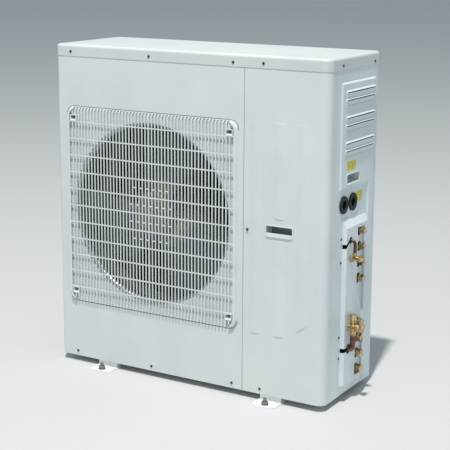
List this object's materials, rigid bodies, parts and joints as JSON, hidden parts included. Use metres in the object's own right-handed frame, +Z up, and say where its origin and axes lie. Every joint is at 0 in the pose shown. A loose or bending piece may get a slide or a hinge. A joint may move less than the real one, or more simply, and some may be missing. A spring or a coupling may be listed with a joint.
{
  "type": "air conditioner outdoor unit",
  "caption": "Outdoor unit of a multi-split air conditioner: one-fan steel cabinet with a moulded square grille, louvred side, flare ports and two stop valves.",
  "frame": {"origin": "on the ground, at the centre of the four foot slots", "axes": "+Z up, the grille faces -Y, the valves and flare ports are on the +X side"},
  "size_m": [1.0016, 0.426, 1.02],
  "materials": {
    "painted_sheet": "smooth baked enamel, light blue-grey",
    "painted_frame": "baked enamel on thick steel",
    "moulded_white": "moulded, fine grain",
    "moulded_pale": "moulded, smooth",
    "black_rubber": "moulded, matt",
    "zinc_sheet": "zinc-coated sheet",
    "steel_bar": "turned",
    "black_paint": "dull black enamel",
    "aluminium_fins": "thin folded fins, coated",
    "aluminium_cast": "extruded, bare",
    "copper_tube": "drawn copper, slightly dull",
    "brass_forging": "forged and turned brass",
    "dark_plastic": "moulded",
    "board_green": "resist on glass fibre board",
    "fan_plastic": "moulded, glass filled"
  },
  "bodies": {
    "cabinet": {"accumulator": "black_paint", "accumulator_strap": "zinc_sheet", "base_pan": "painted_frame", "bell_mouth": "zinc_sheet", "cable_grommets": "black_rubber", "capacitors": "dark_plastic", "charge_port_caps": "steel_bar", "coil_end_plate_left": "zinc_sheet", "coil_end_plate_right": "zinc_sheet", "coil_gas_pipe": "copper_tube", "coil_guard": "dark_plastic", "coil_return_bends": "copper_tube", "compressor": "black_paint", "compressor_mounts": "black_rubber", "compressor_nuts": "steel_bar", "condenser_coil": "aluminium_fins", "control_board": "board_green", "corner_post": "painted_sheet", "discharge_pipe": "copper_tube", "drain_outlet": "dark_plastic", "electrical_box": "zinc_sheet", "electrical_lid": "zinc_sheet", "expansion_valves": "brass_forging", "fan_grille": "moulded_white", "fan_motor": "dark_plastic", "flare_port_caps": "brass_forging", "foot_rail_left": "painted_frame", "foot_rail_right": "painted_frame", "four_way_coil": "dark_plastic", "four_way_valve": "brass_forging", "front_panel": "painted_sheet", "gas_manifold": "copper_tube", "gas_ports": "brass_forging", "gas_service_valve": "brass_forging", "gas_valve_tube": "copper_tube", "heat_sink": "aluminium_cast", "liquid_manifold": "copper_tube", "liquid_pipe": "copper_tube", "liquid_ports": "brass_forging", "liquid_service_valve": "brass_forging", "liquid_valve_tube": "copper_tube", "motor_bracket": "zinc_sheet", "partition_plate": "zinc_sheet", "reactor": "black_paint", "rear_panel": "painted_sheet", "service_gas_pipe": "copper_tube", "service_grip": "moulded_pale", "service_panel": "painted_sheet", "service_valve_caps": "brass_forging", "side_grip": "moulded_pale", "side_panel": "painted_sheet", "suction_pipe": "copper_tube", "terminal_block": "dark_plastic", "terminal_cover": "dark_plastic", "top_cover": "painted_sheet", "tube_sleeves": "black_rubber", "valve_plate": "painted_sheet"},
    "fan_wheel": {"fan": "fan_plastic", "motor_shaft": "steel_bar", "fan_nut": "steel_bar"}
  },
  "joints": [
    {"name": "fan_spin", "type": "hinge", "parent": "cabinet", "child": "fan_wheel", "pos_m": [-0.125, -0.1, 0.518], "axis": [0, 1, 0], "continuous": true}
  ]
}
